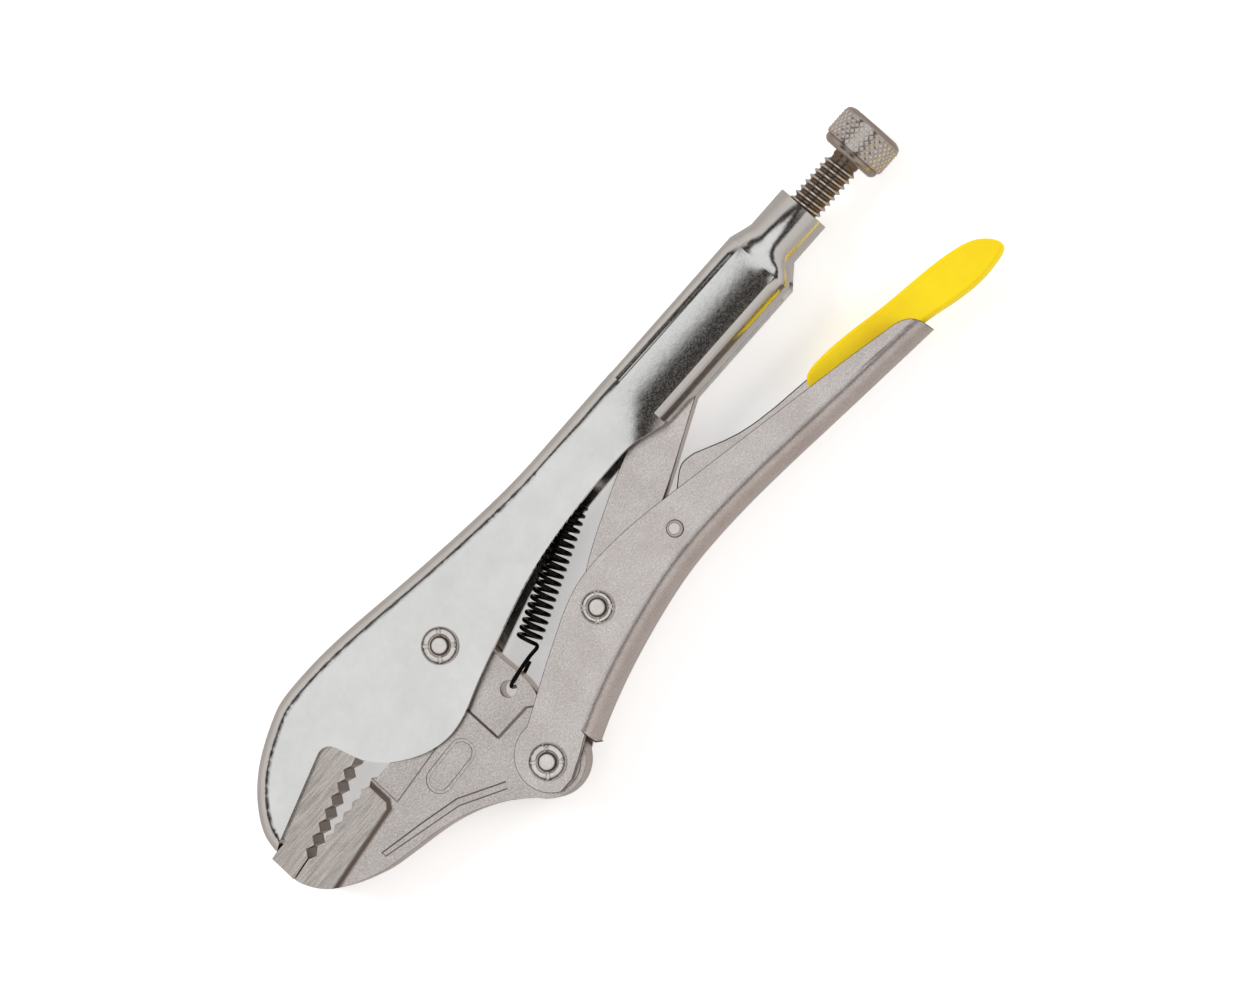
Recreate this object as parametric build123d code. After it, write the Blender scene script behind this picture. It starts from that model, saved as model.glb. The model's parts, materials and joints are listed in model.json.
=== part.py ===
"""Locking pliers with a straight toothed jaw, an adjusting screw and a release lever.

The tool lies flat. In the drawing frame the jaw rivet is at (0, 0), +X runs along the
adjusting screw toward its knob, +Y toward the spine of the fixed handle and +Z up.
Everything is moved at the end so that the origin is under the middle of the tool.
Lengths are in millimetres.
"""
import math
import os

from build123d import *

# ---------------------------------------------------------------- sizes that drive the tool
HANDLE_WIDTH = 13.7        # outside width of both folded handles
SHEET = 1.6                # their sheet thickness
FOLD_RADIUS = 4.0          # outside radius where the sheet folds
SIDE_GAP = 0.3             # moving plates to the handle walls, each side
RUNNING_FIT = 0.08         # radial, round pins in moving holes

JAW_RIVET = (0.0, 0.0)
HANDLE_RIVET = (-2.8, -37.6)
LINK_RIVET = (32.2, -22.1)
LEVER_PIN = (58.2, -23.4)
RIVET_SHANK_R = 2.9
RIVET_RING_R = 4.6
LINK_RING_R = 4.1
RIVET_HEAD = 1.0           # ring height over the handle wall
RIVET_PEEN = 0.45          # peened centre over the ring
RIVET_PEEN_R = 2.3
HEAD_LIFT = 0.1            # under the heads that turn on a wall
LEVER_PIN_R = 2.0
LEVER_DOME = 0.9

TUBE_RADIUS = 6.8          # screw sleeve at the end of the fixed handle
TUBE_BORE_R = 4.55
TUBE_START = 123.0
TUBE_END = 134.0
GRIP_START = 71.0          # from here back the walls curl in
GRIP_END = 117.5
GRIP_SLOT = 5.8
SCREW_AXIS_Y = 5.2

SCREW_R = 4.2
SCREW_ROOT_R = 3.55
SCREW_PITCH = 1.7
SCREW_TIP = 97.0
THREAD_END = 148.0
KNOB_START = 149.4
KNOB_LENGTH = 10.2
KNOB_R = 8.3
KNOB_SPIGOT_R = 2.6
KNURLS = 36

JAW_NOSE_HALF = HANDLE_WIDTH / 2 - SHEET     # half thickness of both jaws at the teeth
JAW_BODY_HALF = 4.3        # half thickness of the moving jaw's forged body
JAW_BOSS_HALF = JAW_NOSE_HALF - SIDE_GAP    # and of its bosses, which the handle walls run on
TOOTH_PITCH = 3.5
UPPER_TOOTH = 1.3
LOWER_TOOTH = 1.0

LINK_THICKNESS = 5.0
LINK_GAP = 3.6             # free space left between the link's end and the screw's tip
LEVER_THICKNESS = 2.8
LEVER_FREE = 1.7           # free play between the lever's hump and the link
GRIP_WALL = 1.1            # vinyl over the lever's tail

SPRING_R = 2.9             # coil mean radius
SPRING_WIRE_R = 0.55
SPRING_PITCH = 1.9
SPRING_TURNS = 15
SPRING_ANCHOR = (51.5, 1.5)
SPRING_HOLE = (3.0, -18.6)
SHELF_DEPTH = 0.3           # step behind the ground nose
MARK_DEPTH = 0.25           # plain oval outline forged on one side
TAB_RECESS = 0.8            # depth of the step round the spring hole
SPRING_HOLE_R = 2.05
SPRING_PIN_R = 1.5

WALL_HALF = HANDLE_WIDTH / 2
INNER_HALF = WALL_HALF - SHEET


# ---------------------------------------------------------------- small helpers
def spline(points, start=None, end=None):
    """A smooth line through a few points, with optional end directions."""
    if start and end:
        return Spline(*points, tangents=(start, end))
    return Spline(*points)


def plate(lines, half, low=None):
    """A flat plate whose outline is the given chain of lines, between -half and +half."""
    face = make_face(Wire(lines)).face()
    bottom = -half if low is None else low
    return Pos(0, 0, bottom) * extrude(face, amount=half - bottom, dir=(0, 0, 1))


def disc(centre, radius, low, high):
    """A round along Z from low to high."""
    x, y = centre
    return Pos(x, y, (low + high) / 2) * Cylinder(radius, high - low)


def along_x(radius, start, end, y=SCREW_AXIS_Y):
    """A round along X from start to end."""
    return Pos((start + end) / 2, y, 0) * Rot(0, 90, 0) * Cylinder(radius, end - start)


def solid_of(shape):
    """The one solid of a shape, however the operation wrapped it."""
    solids = shape.solids()
    return max(solids, key=lambda s: s.volume)


def inward(curve, distance, start, end, count=7):
    """A copy of a curve moved sideways by the distance, to the right of its direction."""
    points = []
    for i in range(count):
        t = i / (count - 1)
        here = curve @ t
        along = curve % t
        points.append((here.X + along.Y * distance, here.Y - along.X * distance))
    return Spline(*points, tangents=(start, end))


def upper_top(inset):
    """The spine's line, from the nose to the shoulder before the sleeve, set in by the inset."""
    nose = spline(
        [(-63.9, -3.2), (-60.6, 6.0), (-50.7, 14.8), (-40.7, 19.4), (-29.0, 20.9)],
        (0, 1), (1, 0.0),
    )
    back = spline([(-29.0, 20.9), (-0.7, 18.1), (29.3, 14.4), (48.0, 13.4)], (1, 0.0), (1, 0))
    if inset:
        nose = inward(nose, inset, (0, 1), (1, 0))
        back = inward(back, inset, (1, 0), (1, 0))
    rear = Line(back @ 1, (GRIP_END - inset, 13.4 - inset))
    return [nose, back, rear]


def upper_region(inset):
    """Everything under the spine, far past the walls' lower edge."""
    nose, back, rear = upper_top(inset)
    sides = Polyline(rear @ 1, (GRIP_END - inset, -40), (-63.9 + inset, -40), nose @ 0)
    return make_face(Wire(nose.edges() + back.edges() + rear.edges() + sides.edges()))


def wall_region():
    """The side view of the fixed handle's walls."""
    edge = [
        Line((GRIP_START + 4, 16), (GRIP_START + 4, -5.0)),
        spline([(GRIP_START + 4, -5.0), (GRIP_START - 4, -2.6), (60.0, -2.1)], (-1, 0.2), (-1, 0)),
        spline(
            [(60.0, -2.1), (45.0, -2.6), (25.0, -5.3), (10.0, -9.4), (-3.0, -13.4), (-13.5, -16.0)],
            (-1, 0), (-1, -0.05),
        ),
        spline([(-13.5, -16.0), (-24.0, -12.9), (-32.0, -5.6), (-34.6, 1.2)], (-1, 0.02), (-0.3, 1)),
        spline([(-34.6, 1.2), (-36.2, 4.3), (-39.0, 4.9)], (-0.3, 1), (-1, -0.2)),
        Line((-39.0, 4.9), (-63.2, -3.0)),
        Line((-63.2, -3.0), (-66.0, -3.0)),
        Polyline((-66.0, -3.0), (-66.0, 30.0), (GRIP_START + 4, 30.0), (GRIP_START + 4, 16.0)),
    ]
    lines = []
    for piece in edge:
        lines += piece.edges()
    return make_face(Wire(lines))


def is_fold(edge):
    """True for the edges of the side faces where the sheet folds over."""
    point = edge @ 0.5
    flat = abs((edge % 0.5).Z) < 0.1
    return flat and point.X < GRIP_END - 4 and -38.0 < point.Y


def spine_body(inset):
    """The filled handle under the spine, set in by the inset on every side but the bottom."""
    region = upper_region(inset)
    half = WALL_HALF - inset
    body = Pos(0, 0, -half) * extrude(region, amount=2 * half, dir=(0, 0, 1))
    folds = [e for e in body.edges() if is_fold(e)]
    return solid_of(fillet(folds, FOLD_RADIUS - inset))


def grip_face(x, inset):
    """Section of the rolled rear at x: a tall rounded box round the screw."""
    half = WALL_HALF - inset
    top = 13.3 - inset
    low = -5.5 + inset
    section = RectangleRounded(2 * half, top - low, FOLD_RADIUS - inset)
    return Plane(origin=(x, (top + low) / 2, 0), x_dir=(0, 0, 1), z_dir=(1, 0, 0)) * section


def sleeve_face(x, inset):
    """Section of the round sleeve at x."""
    return Plane(origin=(x, SCREW_AXIS_Y, 0), x_dir=(0, 0, 1), z_dir=(1, 0, 0)) * Circle(TUBE_RADIUS - inset)


def rolled_rear(inset):
    """The rear of the handle, where the walls curl in, with its shoulder and round sleeve."""
    low_end = GRIP_START + (0 if inset else 3.2)
    box = extrude(grip_face(low_end, inset).face(), amount=GRIP_END - low_end, dir=(1, 0, 0))
    shoulder = loft([grip_face(GRIP_END, inset).face(), sleeve_face(TUBE_START, inset).face()])
    tube = along_x(TUBE_RADIUS - inset, TUBE_START, TUBE_END)
    return box + shoulder + tube


def make_upper_handle():
    """Folded fixed handle with its rolled rear and screw sleeve."""
    wall = Pos(0, 0, -20) * extrude(wall_region(), amount=40, dir=(0, 0, 1))
    channel = solid_of((spine_body(0) & wall) - spine_body(SHEET))
    slot = Pos(60, -12, 0) * Box(
        GRIP_END - 60 + 1.5, 12, GRIP_SLOT, align=(Align.MIN, Align.MIN, Align.CENTER)
    )
    rear = rolled_rear(0) - rolled_rear(SHEET) - slot
    passage = Pos(50, -12, 0) * Box(
        GRIP_START + 4.5 - 50, 24, 2 * INNER_HALF, align=(Align.MIN, Align.MIN, Align.CENTER)
    )
    shell = channel + (rear - passage)
    shell = shell - along_x(TUBE_BORE_R, 110, TUBE_END + 1)
    shell = shell - disc(JAW_RIVET, RIVET_SHANK_R, -20, 20)
    shell = shell - disc(SPRING_ANCHOR, SPRING_PIN_R, -20, 20)
    return solid_of(shell)


# ---------------------------------------------------------------- fixed jaw
def teeth(start, slope, count, depth, upward):
    """A saw of equal teeth as points, from the tip back."""
    along = (math.cos(slope), math.sin(slope))
    normal = (-along[1], along[0]) if upward else (along[1], -along[0])
    points = []
    for i in range(count):
        base = i * TOOTH_PITCH
        points.append((start[0] + along[0] * base, start[1] + along[1] * base))
        mid = base + TOOTH_PITCH / 2
        points.append((
            start[0] + along[0] * mid + normal[0] * depth,
            start[1] + along[1] * mid + normal[1] * depth,
        ))
    base = count * TOOTH_PITCH
    points.append((start[0] + along[0] * base, start[1] + along[1] * base))
    return points


UPPER_SLOPE = math.radians(16.4)
UPPER_FIRST = (-59.4, -9.7)
LOWER_SLOPE = math.radians(4.2)
LOWER_FIRST = (-59.4, -10.0)


def make_fixed_jaw():
    """Jaw insert held in the nose of the fixed handle."""
    saw = teeth(UPPER_FIRST, UPPER_SLOPE, 7, UPPER_TOOTH, True)
    lower = Polyline(
        (-65.5, -3.4), (-65.5, -10.5), *saw, (-33.6, -2.2), (-33.2, -4.2), (-31.2, -4.2),
        (-29.5, 4.0), (-29.5, 14.0), (-44.0, 14.0), (-62.8, -2.9), (-65.5, -3.4),
    )
    block = plate(lower.edges(), INNER_HALF)
    filled = spine_body(SHEET)
    front = Pos(-80, -40, 0) * Box(21.0, 36.9, 40, align=(Align.MIN, Align.MIN, Align.CENTER))
    jaw = block & (filled + front)
    return solid_of(jaw)


# ---------------------------------------------------------------- moving jaw
def jaw_outline():
    """Forged body of the moving jaw, seen from the side."""
    front = spline(
        [(-65.3, -10.8), (-64.7, -13.2), (-61.2, -18.6), (-51.6, -24.2), (-41.6, -26.9)],
        (0.05, -1), (1, -0.2),
    )
    belly = spline(
        [(-41.6, -26.9), (-31.6, -29.0), (-21.6, -33.0), (-11.0, -41.2)], (1, -0.2), (0.75, -0.75)
    )
    boss = ThreePointArc((-11.0, -41.2), (-3.4, -46.0), (5.5, -41.0))
    throat = spline([(5.5, -41.0), (6.0, -33.0), (6.3, -25.2)], (0.3, 1), (0.3, 1))
    rear = spline([(6.3, -25.2), (7.6, -19.5), (7.4, -15.0), (8.6, -3.0)], (0.5, 1), (0.25, 1))
    crown = ThreePointArc((8.6, -3.0), (0.5, 9.1), (-8.6, -3.0))
    neck = spline([(-8.6, -3.0), (-15.0, -7.6), (-28.5, -9.2)], (-0.3, -1), (-1, -0.02))
    saw = list(reversed(teeth(LOWER_FIRST, LOWER_SLOPE, 7, LOWER_TOOTH, False)))
    biting = Polyline((-28.5, -9.2), (-34.2, -9.2), *saw, (-65.3, -10.8))
    lines = []
    for piece in (front, belly, boss, throat, rear, crown, neck, biting):
        lines += piece.edges()
    return lines


def polygon(*corners):
    """A flat face with straight sides."""
    return make_face(Polyline(*corners, corners[0]).edges()).face()


def make_moving_jaw():
    """Forged lower jaw with its rivet bosses, spring hole and ground nose."""
    body = plate(jaw_outline(), JAW_BODY_HALF)
    base = polygon(
        (-75, -4.0), (-35.0, -4.0), (-35.0, -15.0), (-36.6, -17.3), (-58.5, -20.2), (-75, -22.4)
    )
    top = polygon(
        (-75, -4.1), (-36.9, -4.1), (-36.9, -15.0), (-38.0, -16.0), (-58.3, -18.7), (-75, -20.9)
    )
    pad = loft([Pos(0, 0, JAW_BODY_HALF - 0.1) * base, Pos(0, 0, JAW_NOSE_HALF) * top])
    tall = plate(jaw_outline(), JAW_NOSE_HALF)
    raised = (pad + mirror(pad, Plane.XY)) & tall
    jaw = body + raised
    jaw = jaw + disc(JAW_RIVET, 8.4, -JAW_BOSS_HALF, JAW_BOSS_HALF)
    jaw = jaw + disc(HANDLE_RIVET, 7.4, -JAW_BOSS_HALF, JAW_BOSS_HALF)
    for side in (1, -1):
        groove = plate(
            Polyline(
                (-46.4, -22.0), (-34.5, -24.4), (-24.5, -26.8), (-13.5, -32.8), (-14.6, -34.3),
                (-25.3, -28.5), (-35.0, -26.1), (-46.2, -23.4), (-46.4, -22.0),
            ).edges(), 0.35,
        )
        jaw = jaw - Pos(0, 0, side * JAW_BODY_HALF) * groove
        recess = plate(
            Polyline(
                (-7.6, -6.0), (-7.2, -24.4), (2.8, -24.6), (5.0, -26.6), (12.0, -26.6), (12.0, -6.0), (-7.6, -6.0)
            ).edges(), TAB_RECESS,
        )
        recess = recess - disc(JAW_RIVET, 11.0, -20, 20)
        jaw = jaw - Pos(0, 0, side * JAW_BODY_HALF) * recess
        shelf = extrude(polygon(
            (-34.9, -16.7), (-20.0, -15.2), (-12.5, -14.6), (-12.5, -2.0), (-34.9, -2.0)
        ), amount=SHELF_DEPTH * 2, both=True)
        jaw = jaw - Pos(0, 0, side * (JAW_BODY_HALF + SHELF_DEPTH)) * shelf
    ring = SlotOverall(15.0, 6.6) - SlotOverall(13.4, 5.0)
    mark = Pos(-19.8, -20.6, JAW_BODY_HALF - MARK_DEPTH) * Rot(0, 0, 3) * extrude(ring, amount=1.0)
    jaw = jaw - mark
    jaw = jaw - disc(JAW_RIVET, RIVET_SHANK_R + RUNNING_FIT, -20, 20)
    jaw = jaw - disc(HANDLE_RIVET, RIVET_SHANK_R, -20, 20)
    jaw = jaw - disc(SPRING_HOLE, SPRING_HOLE_R, -20, 20)
    return solid_of(jaw)


# ---------------------------------------------------------------- moving handle
def lower_bottom():
    """The spine's outer line of the moving handle, from the cut end back."""
    front = spline([(8.0, -42.6), (18.0, -38.9), (38.0, -33.8), (58.0, -31.25)], (1, 0.42), (1, 0.03))
    rear = spline([(58.0, -31.25), (78.0, -31.7), (98.0, -33.4), (133.0, -36.6)], (1, 0.03), (1, -0.09))
    return front, rear


def lower_top():
    """The moving handle's wall edge, from the rivet end back to the tail."""
    return [
        ThreePointArc((-6.0, -44.6), (-9.5, -34.0), (0.0, -28.3)),
        spline([(0.0, -28.3), (10.0, -23.6), (22.0, -18.3), (38.0, -14.2)], (1, 0.45), (1, 0.04)),
        spline([(38.0, -14.2), (65.0, -17.3), (95.0, -23.2), (127.0, -29.8)], (1, 0.02), (1, -0.23)),
        spline([(127.0, -29.8), (131.6, -32.2), (133.0, -36.6)], (1, -0.23), (0.05, -1)),
    ]


def lower_region():
    """Everything over the moving handle's spine, far past the walls' upper edge."""
    front, rear = lower_bottom()
    box = Polyline((133.0, -36.6), (133.0, 10.0), (8.0, 10.0), (8.0, -42.6))
    face = make_face(Wire(front.edges() + rear.edges() + box.edges()))
    return face


def lower_body(inset):
    """The filled moving handle over its spine, set in by the inset."""
    half = WALL_HALF - inset
    body = Pos(0, 0, -half) * extrude(lower_region(), amount=2 * half, dir=(0, 0, 1))
    body = Pos(0, inset, 0) * body
    edges = [
        e for e in body.edges()
        if (e @ 0.5).Y < -25 and e.length > 20 and abs((e % 0.5).X) > 0.5 and (e @ 0.5).Y < 5
    ]
    return solid_of(fillet(edges, FOLD_RADIUS - inset))


def make_lower_handle():
    """Folded moving handle, open toward the fixed handle."""
    front, rear = lower_bottom()
    ears = Polyline((8.0, -42.6), (8.0, -39.9), (3.5, -42.2), (-2.0, -44.6), (-6.0, -44.6))
    lines = []
    for piece in lower_top() + [rear, front, ears]:
        lines += piece.edges()
    side = plate(lines, WALL_HALF)
    ear_box = Pos(8.0, -20, 0) * Box(40, 80, 60, align=(Align.MAX, Align.CENTER, Align.CENTER))
    ear = side & ear_box
    rest = side & lower_body(0)
    handle = ear + rest
    channel = lower_body(SHEET) + Pos(8.0, -20, 0) * Box(
        40, 80, 2 * INNER_HALF, align=(Align.MAX, Align.CENTER, Align.CENTER)
    )
    mouth = Pos(133.0 + 1, 0, 0) * Box(6, 80, 2 * INNER_HALF, align=(Align.MAX, Align.MIN, Align.CENTER))
    handle = handle - channel - mouth
    handle = handle - disc(HANDLE_RIVET, RIVET_SHANK_R + RUNNING_FIT, -20, 20)
    handle = handle - disc(LINK_RIVET, RIVET_SHANK_R, -20, 20)
    handle = handle - disc(LEVER_PIN, LEVER_PIN_R, -20, 20)
    return solid_of(handle)


# ---------------------------------------------------------------- rivets and pins
def make_rivet(centre, ring, lift=0.0):
    """Rivet with a ring head and a peened centre each side; lift leaves a moving wall free."""
    under = WALL_HALF + lift
    top = WALL_HALF + RIVET_HEAD
    peak = top + RIVET_PEEN
    head = disc(centre, ring, under, top)
    rim = head.edges().filter_by(GeomType.CIRCLE).sort_by(Axis.Z)[-1]
    head = fillet(rim, 0.45)
    half = disc(centre, RIVET_SHANK_R, 0, under) + head + disc(centre, RIVET_PEEN_R, top, peak)
    return solid_of(half + mirror(half, Plane.XY))


def make_lever_pin():
    """Flush pin with low domes, which the release lever turns on."""
    tall = WALL_HALF + LEVER_DOME
    pin = disc(LEVER_PIN, LEVER_PIN_R, -tall, tall)
    return solid_of(fillet(pin.edges().filter_by(GeomType.CIRCLE), LEVER_DOME - 0.1))


def make_spring_pin():
    """Cross pin in the fixed handle that the spring hooks on."""
    return solid_of(disc(SPRING_ANCHOR, SPRING_PIN_R, -WALL_HALF, WALL_HALF))


# ---------------------------------------------------------------- toggle link
def make_toggle_link():
    """Link from the moving handle up into the fixed handle, where it bears on the screw."""
    tip_x = SCREW_TIP - LINK_GAP
    outline = [
        ThreePointArc((27.4, -19.6), (31.0, -27.3), (37.6, -22.9)),
        spline([(37.6, -22.9), (48.0, -20.5), (62.0, -15.6), (84.0, -5.6)], (1, 0.1), (1, 0.45)),
        spline([(84.0, -5.6), (90.0, -1.4), (tip_x, 1.9)], (1, 0.6), (1, 0.3)),
        ThreePointArc((tip_x, 1.9), (tip_x, 5.2), (tip_x - 1.6, 8.2)),
        spline([(tip_x - 1.6, 8.2), (84.0, 5.4), (70.0, 0.2), (56.0, -4.6)], (-1, -0.2), (-1, -0.38)),
        spline([(56.0, -4.6), (37.2, -12.9), (27.4, -19.6)], (-1, -0.42), (-0.8, -0.7)),
    ]
    lines = []
    for piece in outline:
        lines += piece.edges()
    link = plate(lines, LINK_THICKNESS / 2)
    eye = disc(LINK_RIVET, 5.4, -INNER_HALF + SIDE_GAP, INNER_HALF - SIDE_GAP)
    link = link + eye
    link = link - disc(LINK_RIVET, RIVET_SHANK_R + RUNNING_FIT, -20, 20)
    return solid_of(link)


# ---------------------------------------------------------------- release lever
def lever_tail():
    """Outline of the lever's bare steel, from its pin eye back to the covered tail."""
    hump = -11.8 - LEVER_FREE
    return [
        spline([(56.2, -19.4), (64.0, -17.2), (70.0, hump), (74.0, hump - 0.5)], (1, 0.1), (1, -0.3)),
        spline([(74.0, hump - 0.5), (84.0, -18.6), (98.0, -21.6), (152.0, -30.0)], (1, -0.5), (1, -0.2)),
        ThreePointArc((152.0, -30.0), (157.2, -33.6), (157.8, -36.4)),
        Line((157.8, -36.4), (153.0, -36.4)),
        spline([(153.0, -36.4), (135.0, -33.6), (100.0, -28.0), (60.4, -27.0)], (-1, 0.2), (-1, 0)),
        spline([(60.4, -27.0), (55.0, -26.4), (53.9, -22.6), (56.2, -19.4)], (-1, 0.1), (1, 0.6)),
    ]


def make_release_lever():
    """Flat lever on its pin, with a hump that lifts the link off centre."""
    lines = []
    for piece in lever_tail():
        lines += piece.edges()
    lever = plate(lines, LEVER_THICKNESS / 2)
    eye = disc(LEVER_PIN, 3.4, -INNER_HALF + SIDE_GAP, INNER_HALF - SIDE_GAP)
    lever = lever + eye
    return solid_of(lever - disc(LEVER_PIN, LEVER_PIN_R + RUNNING_FIT, -20, 20))


def make_release_grip(lever):
    """Dipped vinyl over the lever's tail."""
    outline = Spline(
        (103.4, -25.2), (105.0, -22.2), (109.5, -21.5), (130.0, -24.7), (151.0, -28.5), (157.0, -32.2),
        (158.4, -36.0), (154.8, -37.4), (134.0, -34.4), (108.0, -29.6), (104.4, -28.0),
        periodic=True,
    )
    lines = outline.edges()
    half = LEVER_THICKNESS / 2 + GRIP_WALL
    grip = plate(lines, half)
    rims = [e for e in grip.edges() if abs(abs((e @ 0.5).Z) - half) < 0.01]
    grip = fillet(rims, 0.9)
    return solid_of(grip - lever)


# ---------------------------------------------------------------- adjusting screw
def make_screw():
    """Threaded rod. The thread is drawn as rings, the way it is gauged from the side."""
    rod = along_x(SCREW_ROOT_R, SCREW_TIP, THREAD_END)
    rings = []
    count = int((THREAD_END - SCREW_TIP - 1.0) / SCREW_PITCH)
    depth = SCREW_R - SCREW_ROOT_R
    for i in range(count):
        x = SCREW_TIP + 1.0 + i * SCREW_PITCH
        ring = Polyline(
            (x, 0), (x, SCREW_ROOT_R - 0.2), (x + 0.5, SCREW_R), (x + 0.9, SCREW_R),
            (x + 1.4, SCREW_ROOT_R - 0.2), (x + 1.4, 0), (x, 0),
        )
        rings.append(Pos(0, SCREW_AXIS_Y, 0) * revolve(make_face(ring.edges()), Axis.X, 360))
    rod = rod + rings
    rod = rod + along_x(SCREW_ROOT_R, THREAD_END - 1, KNOB_START)
    rod = rod + along_x(KNOB_SPIGOT_R, KNOB_START - 0.5, KNOB_START + KNOB_LENGTH - 2.0)
    return solid_of(rod)


def make_knob():
    """Knurled head with a plain band at its inner end, pressed on the rod."""
    end = KNOB_START + KNOB_LENGTH
    shape = Polyline(
        (KNOB_START, 0), (KNOB_START, KNOB_R - 1.6), (KNOB_START + 0.9, KNOB_R - 0.7),
        (KNOB_START + 2.0, KNOB_R - 0.7), (KNOB_START + 2.5, KNOB_R), (end - 1.5, KNOB_R),
        (end, KNOB_R - 1.7), (end, 0), (KNOB_START, 0),
    )
    knob = revolve(make_face(shape.edges()), Axis.X, 360)
    cutter = Pos((KNOB_START + 2.5 + end) / 2 + 0.5, KNOB_R + 0.25, 0) * Rot(0, 0, 0) * (
        Rot(45, 0, 0) * Box(KNOB_LENGTH - 2.0, 0.8, 0.8)
    )
    cuts = [Rot(360 * i / KNURLS, 0, 0) * cutter for i in range(KNURLS)]
    knob = Pos(0, SCREW_AXIS_Y, 0) * (knob - cuts)
    knob = knob - along_x(KNOB_SPIGOT_R + RUNNING_FIT / 2, KNOB_START - 1, end - 2.0 + 0.2)
    return solid_of(knob)


# ---------------------------------------------------------------- spring
def make_spring():
    """Extension spring from the jaw's hole to the cross pin, hooks included."""
    a = Vector(*SPRING_HOLE, 0)
    b = Vector(*SPRING_ANCHOR, 0)
    axis = (b - a).normalized()
    start = a + axis * 12.6
    turn_length = SPRING_PITCH * SPRING_TURNS
    plane = Plane(origin=start, z_dir=axis, x_dir=Vector(0, 0, 1))
    coil = Helix(pitch=SPRING_PITCH, height=turn_length, radius=SPRING_R)
    coil = plane * coil
    first = coil @ 0
    last = coil @ 1
    face = JAW_BODY_HALF + SPRING_WIRE_R + 0.35
    hook_in = Spline(
        a + Vector(7.6, -0.6, -face), a + Vector(2.8, -0.7, -face), a + Vector(0.5, -0.4, -face + 1.5),
        a + Vector(0.2, -0.2, 0), a + Vector(0.5, -0.1, face - 1.5), a + Vector(2.8, 0.4, face),
        a + Vector(8.0, 2.5, face - 0.9), first,
        tangents=(Vector(-1, 0, 0), coil % 0),
    )
    hook_out = Spline(last, b - axis * 4.0 + Vector(0, 0, -0.6), b - axis * 2.2, tangents=(coil % 1, axis))
    path = Wire([*hook_in.edges(), *coil.edges(), *hook_out.edges()])
    section = Plane(origin=path @ 0, z_dir=path % 0) * Circle(SPRING_WIRE_R)
    return solid_of(sweep(section, path=path, is_frenet=True))


# ---------------------------------------------------------------- the tool
def build():
    """Every piece by node name, in the drawing frame."""
    lever = make_release_lever()
    pieces = {
        "upper_handle": make_upper_handle(),
        "fixed_jaw": make_fixed_jaw(),
        "moving_jaw": make_moving_jaw(),
        "lower_handle": make_lower_handle(),
        "jaw_rivet": make_rivet(JAW_RIVET, RIVET_RING_R),
        "handle_rivet": make_rivet(HANDLE_RIVET, RIVET_RING_R, HEAD_LIFT),
        "link_rivet": make_rivet(LINK_RIVET, LINK_RING_R),
        "lever_pin": make_lever_pin(),
        "spring_pin": make_spring_pin(),
        "toggle_link": make_toggle_link(),
        "release_lever": lever,
        "release_grip": make_release_grip(lever),
        "adjusting_screw": make_screw(),
        "screw_knob": make_knob(),
        "return_spring": make_spring(),
    }
    return pieces


def shift_of(pieces):
    """The move that puts the origin under the middle of the tool."""
    boxes = [piece.bounding_box() for piece in pieces.values()]
    low = [min(getattr(box.min, axis) for box in boxes) for axis in "XYZ"]
    high = [max(getattr(box.max, axis) for box in boxes) for axis in "XYZ"]
    return Pos(-(low[0] + high[0]) / 2, -(low[1] + high[1]) / 2, -low[2])


def main():
    """Write one STEP file for every piece."""
    os.makedirs("parts", exist_ok=True)
    pieces = build()
    shift = shift_of(pieces)
    for name, piece in pieces.items():
        export_step(shift * piece, "parts/" + name + ".step")


if __name__ == "__main__":
    main()
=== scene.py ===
# %% [markdown]
# # Locking pliers
# The tool lies flat on a bench: two folded sheet handles, a forged jaw on a rivet, a toggle
# link, a release lever with a dipped grip, a spring, and a knurled screw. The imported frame
# gives every piece its place. This script gives the pieces their finish, and remakes the ones
# whose look is in fine detail: the thread, the knurl, the rivets and the spring.

# %% Load the frame
import json
import math

import bmesh
import bpy
from mathutils import Matrix, Vector


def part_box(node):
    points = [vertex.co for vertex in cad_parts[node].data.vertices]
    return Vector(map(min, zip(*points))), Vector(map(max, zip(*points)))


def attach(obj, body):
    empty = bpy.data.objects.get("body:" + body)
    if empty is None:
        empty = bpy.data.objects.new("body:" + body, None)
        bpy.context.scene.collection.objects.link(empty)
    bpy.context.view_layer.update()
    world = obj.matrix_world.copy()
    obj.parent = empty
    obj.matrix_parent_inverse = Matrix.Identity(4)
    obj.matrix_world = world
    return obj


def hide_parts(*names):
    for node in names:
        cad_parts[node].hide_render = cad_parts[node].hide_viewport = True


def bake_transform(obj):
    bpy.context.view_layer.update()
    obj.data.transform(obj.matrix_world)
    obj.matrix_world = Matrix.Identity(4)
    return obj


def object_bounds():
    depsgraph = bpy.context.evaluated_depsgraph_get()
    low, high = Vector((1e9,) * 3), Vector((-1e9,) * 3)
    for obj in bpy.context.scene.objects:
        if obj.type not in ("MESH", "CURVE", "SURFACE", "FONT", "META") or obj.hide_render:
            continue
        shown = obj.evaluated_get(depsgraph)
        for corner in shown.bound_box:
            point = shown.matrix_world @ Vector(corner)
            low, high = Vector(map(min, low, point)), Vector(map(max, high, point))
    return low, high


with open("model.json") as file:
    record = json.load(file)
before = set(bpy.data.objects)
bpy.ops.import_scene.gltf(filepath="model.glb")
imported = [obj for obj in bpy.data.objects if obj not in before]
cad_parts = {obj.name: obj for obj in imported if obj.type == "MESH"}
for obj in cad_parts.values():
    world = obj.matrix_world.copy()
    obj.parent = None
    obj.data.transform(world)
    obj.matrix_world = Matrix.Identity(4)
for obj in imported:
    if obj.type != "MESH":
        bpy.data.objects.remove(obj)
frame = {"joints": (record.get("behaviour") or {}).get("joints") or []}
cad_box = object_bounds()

MM = 0.001
joints = {joint["name"]: joint for joint in frame["joints"]}
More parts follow.
